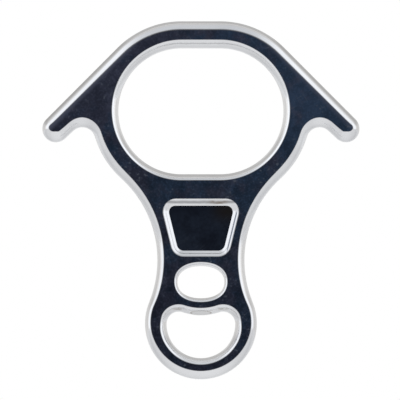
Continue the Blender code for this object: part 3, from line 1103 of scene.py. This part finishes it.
def paint_wall(shader):
    """The pocket's wall: polished, with painted shade along its top, a darker, duller band and
    brown streaks, and a painted dark reflection in a line down its right side."""
    place = shader.place()
    x, y, z = shader.split(place)
    colour, roughness, relief = paint_rim(shader)
    ragged = z + WALL_RAG_HEIGHT * shader.clouds(place, WALL_RAGS)
    # Painted shade along the wall's top: a dark band and brown streaks.
    dull_and_shaded = shader.near(ragged, WALL_SHADE_Z)
    brown_shade = shader.near(x, BROWN_SHADE_X) * shader.near(ragged, BROWN_SHADE_Z)
    brown_shade = brown_shade * shader.rising(shader.streaked(place, BROWN_SHADE_STREAKS), BROWN_SHADE_RAMP)
    # A painted dark reflection in a thin line down the right wall.
    reflected_line = shader.near(edge_gap(*pocket_corners(), x, z), REFLECTED_LINE_INSET)
    reflected_line = reflected_line * shader.falling(abs(z - REFLECTED_LINE_MIDDLE_Z), REFLECTED_LINE_END)
    colour = shader.mix(WALL_SHADE_SHARE * dull_and_shaded, colour, WALL_SHADE_COLOUR)
    colour = shader.mix(brown_shade, colour, BROWN_SHADE_COLOUR)
    colour = shader.mix(reflected_line, colour, SCRATCH_AND_PAINTED_REFLECTION_COLOUR)
    return colour, roughness + DULL_ROUGHNESS * dull_and_shaded, relief


def paint_pocket(shader):
    """The pocket's floor, darker than the faces, with soft clouds and hair scratches."""
    place = shader.place()
    x, y, z = shader.split(place)
    cloud = shader.clouds(place, POCKET_CLOUDS)
    grain = shader.clouds(place, POCKET_GRAIN)
    tone = shader.rising(cloud + POCKET_GRAIN_SHARE * grain, POCKET_CLOUD_RAMP)
    # Painted shade darkens the floor under the top wall, and a painted sheen lightens its lower
    # left.
    corner = shader.falling(x, CORNER_X) * shader.falling(z, CORNER_Z)
    tone = tone * (1.0 - SHADED_SHARE * shader.rising(z, SHADED_Z)) + CORNER_TONE * corner
    # A painted brown reflection at the upper right.
    brown_reflection = shader.rising(x, BROWN_REFLECTION_X) * shader.rising(z, BROWN_REFLECTION_Z)
    hairs = scratched(shader, place, POCKET_HAIRS)
    colour = shader.mix(tone, POCKET_DEEP, POCKET_LIGHT)
    colour = shader.mix(BROWN_REFLECTION_SHARE * brown_reflection, colour, POCKET_BROWN)
    colour = shader.mix(POCKET_HAIR_SHARE * hairs, colour, SCRATCH_AND_PAINTED_REFLECTION_COLOUR)
    roughness = POCKET_ROUGHNESS + POCKET_CLOUD_ROUGHNESS * cloud
    relief = POCKET_WAVE_HEIGHT * shader.clouds(place, POCKET_WAVES)
    return colour, roughness, relief


def dress_body(body):
    """Gives the body its materials, in the order of the slots."""
    for name, paint in (
        ("polished_rim", paint_rim),
        ("mirror_face", paint_face),
        ("pocket_wall", paint_wall),
        ("pocket_floor", paint_pocket),
    ):
        body.data.materials.append(metal(name, paint))


def pale_floor():
    """A matt pale material that shows white around the device's shadow."""
    material = bpy.data.materials.new("pale_floor")
    shader = Shader(material)
    pale = shader.node("ShaderNodeBsdfDiffuse", None, {"Color": (*FLOOR_COLOUR, OPAQUE)})
    camera_ray = shader.node("ShaderNodeLightPath", output="Is Camera Ray")
    glossy_ray = shader.node("ShaderNodeLightPath", output="Is Glossy Ray")
    x, y, z = shader.split(shader.place())
    mirrored_glow = FLOOR_GLOSS_GLOW - FLOOR_SIDE_FALL * shader.rising(abs(x), FLOOR_SIDE_X)
    mirrored_glow = mirrored_glow - FLOOR_BACK_FALL * shader.near(y, FLOOR_BACK_Y)
    grey = FLOOR_CAMERA_GLOW * camera_ray + mirrored_glow * glossy_ray
    glow = shader.node("ShaderNodeEmission", None, {"Color": grey})
    surface = shader.node("ShaderNodeAddShader", None, {0: pale, 1: glow})
    shader.node("ShaderNodeOutputMaterial", None, {"Surface": surface})
    return material


def make_floor():
    """A plain floor, well below the hanging device."""
    data = bpy.data.meshes.new("floor")
    corners = [(-1, -1), (1, -1), (1, 1), (-1, 1)]
    points = [(x * FLOOR_HALF_WIDTH, y * FLOOR_HALF_WIDTH, FLOOR_Z) for x, y in corners]
    data.from_pydata(points, [], [(0, 1, 2, 3)])
    data.materials.append(pale_floor())
    floor = bpy.data.objects.new("floor", data)
    bpy.context.scene.collection.objects.link(floor)


def studio_light(shader, x, y, z):
    """Strength of the light from a direction."""
    up = z / shader.math("SQRT", x * x + z * z + SMALL_SQUARE)
    front = -1.0 * y
    side = SIDE_LIGHT - SIDE_DIP * shader.near(y, SIDE_DIP_Y)
    side = side + SIDE_GLOW * shader.rising(front, SIDE_GLOW_FRONT)
    slope = SLOPE_LIGHT - SLOPE_DIP * shader.near(y, SLOPE_DIP_Y)
    slope = slope + SLOPE_GLOW * shader.rising(front, SLOPE_GLOW_FRONT)
    top = TOP_LIGHT + TOP_STRIP * shader.near(y, TOP_STRIP_Y)
    top = top + TOP_GLOW * shader.rising(front, TOP_GLOW_FRONT)

    top_share = shader.rising(up, TOP_UP)
    slope_share = shader.rising(up, SLOPE_UP) * (1.0 - top_share)
    side_share = 1.0 - slope_share - top_share
    light = side * side_share + slope * slope_share + top * top_share
    room_share = shader.rising(front, ROOM_FRONT)
    room = ROOM_LIGHT + ROOM_MIDDLE_GLOW * shader.rising(front, ROOM_MIDDLE_FRONT)
    return light * (1.0 - room_share) + room * room_share


def light_studio():
    """Soft light from all round, and a dark room behind the camera for the flat faces to
    mirror. The camera itself sees white."""
    world = bpy.data.worlds.new("studio")
    bpy.context.scene.world = world
    shader = Shader(world)
    x, y, z = shader.split(shader.node("ShaderNodeTexCoord", output="Generated"))
    camera_ray = shader.node("ShaderNodeLightPath", output="Is Camera Ray")
    light = studio_light(shader, x, y, z) * (1.0 - camera_ray) + camera_ray
    tint = shader.mix(shader.rising(-1.0 * y, TINT_FRONT), WARM_LIGHT, COOL_LIGHT)
    tint = shader.mix(camera_ray, tint, WHITE)
    background = shader.node("ShaderNodeBackground", None, {"Color": tint, "Strength": light})
    shader.node("ShaderNodeOutputWorld", None, {"Surface": background})


def place_camera():
    """The camera looks up at the front of the device from a little below it."""
    data = bpy.data.cameras.new("camera")
    data.sensor_width = SENSOR_WIDTH
    data.lens = SENSOR_WIDTH * CAMERA_DISTANCE / VIEW_WIDTH
    data.clip_end = CAMERA_REACH
    camera = bpy.data.objects.new("camera", data)
    bpy.context.scene.collection.objects.link(camera)
    aim = Vector((AIM_X, 0.0, AIM_Z))
    back = Vector((0.0, -math.cos(CAMERA_ELEVATION), math.sin(CAMERA_ELEVATION)))
    looking = (-back).to_track_quat("-Z", "Y").to_matrix().to_4x4()
    camera.matrix_world = Matrix.Translation(aim + back * CAMERA_DISTANCE) @ looking
    bpy.context.scene.camera = camera


bpy.context.scene.view_settings.view_transform = "Standard"
place_camera()
descender = shape_body()
dress_body(descender)
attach(descender, "root")
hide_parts("descender_body")
make_floor()
light_studio()
